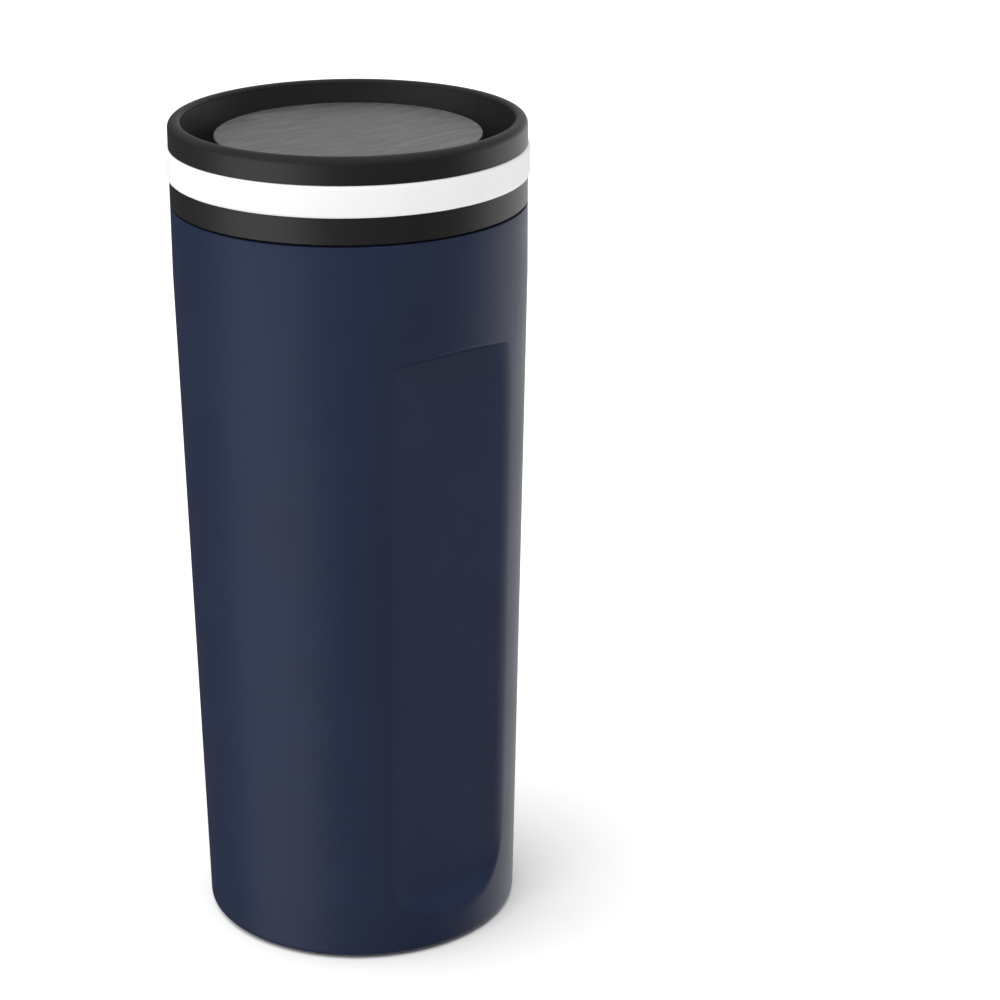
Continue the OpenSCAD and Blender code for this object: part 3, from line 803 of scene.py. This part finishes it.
# %% Spun steel
def spun_steel(name, colour, rough, line_size, depth):
    """Steel finished on a lathe, with lines that run round the Z axis."""
    material, tree, shader = finish(name, rough[0], metallic=1.0)
    place = tree.nodes.new("ShaderNodeTexCoord")
    parts = tree.nodes.new("ShaderNodeSeparateXYZ")
    tree.links.new(place.outputs["Object"], parts.inputs[0])
    x, y, z = parts.outputs
    angle = calc(tree, "ARCTAN2", y, x)
    squares = calc(tree, "ADD", calc(tree, "MULTIPLY", x, x), calc(tree, "MULTIPLY", y, y))
    radius = calc(tree, "SQRT", squares)
    joined = tree.nodes.new("ShaderNodeCombineXYZ")
    tree.links.new(calc(tree, "MULTIPLY", angle, 1.6), joined.inputs[0])
    tree.links.new(calc(tree, "DIVIDE", radius, line_size * mm), joined.inputs[1])
    tree.links.new(calc(tree, "DIVIDE", z, line_size * mm), joined.inputs[2])
    hair = effect(tree, brush, Depth=depth)
    tree.links.new(joined.outputs[0], hair.inputs["Vector"])
    round_it = tree.nodes.new("ShaderNodeCombineXYZ")
    tree.links.new(calc(tree, "MULTIPLY", y, -1), round_it.inputs[0])
    tree.links.new(x, round_it.inputs[1])
    stroke = add(tree, "ShaderNodeVectorTransform", vector_type="VECTOR",
                 convert_from="OBJECT", convert_to="WORLD")
    tree.links.new(round_it.outputs[0], stroke.inputs[0])
    tree.links.new(stroke.outputs[0], shader.inputs["Tangent"])
    shader.inputs["Anisotropic"].default_value = 0.5
    line = hair.outputs["Line"]
    groove_tone = tuple(c * 0.84 for c in colour)
    tree.links.new(blended(tree, line, groove_tone, colour), shader.inputs["Base Color"])
    tree.links.new(ranged(tree, line, 0, 1, rough[0], rough[1]), shader.inputs["Roughness"])
    tree.links.new(hair.outputs["Normal"], shader.inputs["Normal"])
    return material


liner_steel = spun_steel("spun liner steel", (0.56, 0.57, 0.58), (0.24, 0.36), 0.5, 0.012)
small_steel = spun_steel("turned steel", (0.60, 0.60, 0.61), (0.20, 0.32), 0.2, 0.004)
print("spun:", liner_steel.name, small_steel.name)

# %% [markdown]
# ## Giving out the finishes
# Each material slot of the record names one finish. The CAD pieces and the new pieces that
# stand for them look their finish up under the same slot, so a seal is silicone wherever
# it sits.

# %% Assign finishes
finishes = {
    "navy_shell": navy_coat,
    "black_plastic": black_moulding,
    "white_silicone": white_silicone,
    "brushed_steel": plate_steel,
    "liner_steel": liner_steel,
    "white_plastic": white_moulding,
    "clear_silicone": clear_silicone,
    "acetal": acetal,
    "fastener_steel": small_steel,
    "black_rubber": black_rubber,
}
for part in frame["record"]["subparts"]:
    mesh = nodes[part["node"]].data
    mesh.materials.clear()
    mesh.materials.append(finishes[part["material_slot"]])
new_pieces = (shell, band, plate, foot, badge, spring)
for piece in new_pieces:
    piece.data.materials.clear()
    piece.data.materials.append(finishes[piece["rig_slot"]])
print("finishes given to", len(nodes), "CAD nodes and", len(new_pieces), "new pieces")

# %% [markdown]
# ## Floor and light
# A pale floor and soft light make a plain studio. The floor is wide enough that its edge
# stays out of view from low down. It is hidden from glossy rays: in a studio, black card
# is laid round a dark object to keep a white table out of its sides.

# %% Floor
deselect()
floor_size = 40
bpy.ops.mesh.primitive_plane_add(size=floor_size, location=(0, 0, 0))
floor = bpy.context.object
floor.name = "studio_floor"
floor_paint, tree, shader = finish("floor paint", 0.9)
shader.inputs["Base Color"].default_value = (0.93, 0.93, 0.93, 1)
floor.data.materials.append(floor_paint)
floor.visible_glossy = False
print("floor", floor_size, "m across")

# %% [markdown]
# ## The two soft sources
# One wide source stands to the front left and draws the broad highlight down the cup; one
# stands behind on the right and draws its bright edge. Both are painted into the world as
# smooth lobes, so they have no hard rims. Their azimuths are counted from the camera's.

# %% Soft sources
world = bpy.data.worlds.new("studio")
bpy.context.scene.world = world
world.use_nodes = True
world.cycles.sampling_method = "NONE"
studio = world.node_tree
incoming = studio.nodes.new("ShaderNodeNewGeometry")
level = add(studio, "ShaderNodeVectorMath", operation="MULTIPLY")
level.inputs[1].default_value = (-1, -1, 0)
studio.links.new(incoming.outputs["Incoming"], level.inputs[0])
heading = add(studio, "ShaderNodeVectorMath", operation="NORMALIZE")
studio.links.new(level.outputs["Vector"], heading.inputs[0])


def soft_source(azimuth, inner, outer, strength):
    """A soft upright source at an azimuth from the camera, full inside one angle and gone at another."""
    turned_by = radians(azimuth + camera_turn)
    towards = add(studio, "ShaderNodeVectorMath", operation="DOT_PRODUCT")
    towards.inputs[1].default_value = (sin(turned_by), -cos(turned_by), 0)
    studio.links.new(heading.outputs["Vector"], towards.inputs[0])
    fade = add(studio, "ShaderNodeMapRange", interpolation_type="SMOOTHSTEP")
    fade.inputs["From Min"].default_value = cos(radians(outer))
    fade.inputs["From Max"].default_value = cos(radians(inner))
    fade.inputs["To Max"].default_value = strength
    studio.links.new(towards.outputs["Value"], fade.inputs["Value"])
    return fade.outputs["Result"]


left_source = soft_source(azimuth=-54, inner=12, outer=42, strength=1.25)
right_source = soft_source(azimuth=140, inner=30, outer=58, strength=1.15)
print("two soft sources painted with", len(studio.nodes), "nodes")

# %% [markdown]
# ## How the room changes with height
# Incoming points back along the ray, so its Z is negative for a ray that goes up. The two
# sources fade upwards, which keeps the lid's lip dark, and fade again for rays that go
# nearly straight down, which keeps the shelf above each flat dark. A faint glow overhead
# is what the steel plate mirrors.

# %% Studio world
def height_fade(start, end, start_value, end_value):
    """A smooth change over the Z of Incoming. Gives its socket."""
    fade = add(studio, "ShaderNodeMapRange", interpolation_type="SMOOTHSTEP")
    for name, value in (("From Min", start), ("From Max", end),
                        ("To Min", start_value), ("To Max", end_value)):
        fade.inputs[name].default_value = value
    studio.links.new(rise.outputs["Z"], fade.inputs["Value"])
    return fade.outputs["Result"]


rise = studio.nodes.new("ShaderNodeSeparateXYZ")
studio.links.new(incoming.outputs["Incoming"], rise.inputs[0])
low_down = height_fade(-0.36, 0.18, 0.10, 1)
underfoot = height_fade(0.9, 0.55, 0, 1)
overhead = height_fade(0, -0.5, 0, 0.20)
room_light = 0.10
both = calc(studio, "ADD", left_source, right_source)
sources = calc(studio, "MULTIPLY", both, calc(studio, "MULTIPLY", low_down, underfoot))
room = calc(studio, "ADD", sources, calc(studio, "ADD", overhead, room_light))
studio.links.new(room, studio.nodes["Background"].inputs["Strength"])
studio.nodes["Background"].inputs["Color"].default_value = (1, 1, 1, 1)
print("world", world.name, "has", len(studio.nodes), "nodes")

# %% [markdown]
# ## The overhead light
# A sun with a very wide angle acts as a large soft box above and a little to the left: it
# keeps the floor and the band white and leaves a faint shadow at the foot. It is hidden
# from glossy rays, so it puts no highlight of its own on the lid.

# %% Overhead light
sun_data = bpy.data.lights.new("overhead", "SUN")
sun_data.energy = 3.7
sun_data.angle = radians(85)
sun = bpy.data.objects.new("overhead", sun_data)
sun.visible_glossy = False
bpy.context.scene.collection.objects.link(sun)
sun_side = radians(-60 + camera_turn)
sun_lean = radians(17)
sun_from = Vector((sin(sun_side) * sin(sun_lean), -cos(sun_side) * sin(sun_lean), cos(sun_lean)))
sun.rotation_mode = "QUATERNION"
sun.rotation_quaternion = sun_from.to_track_quat("Z", "Y")
bpy.context.scene.view_settings.view_transform = "Standard"
print("overhead light from", sun_from)
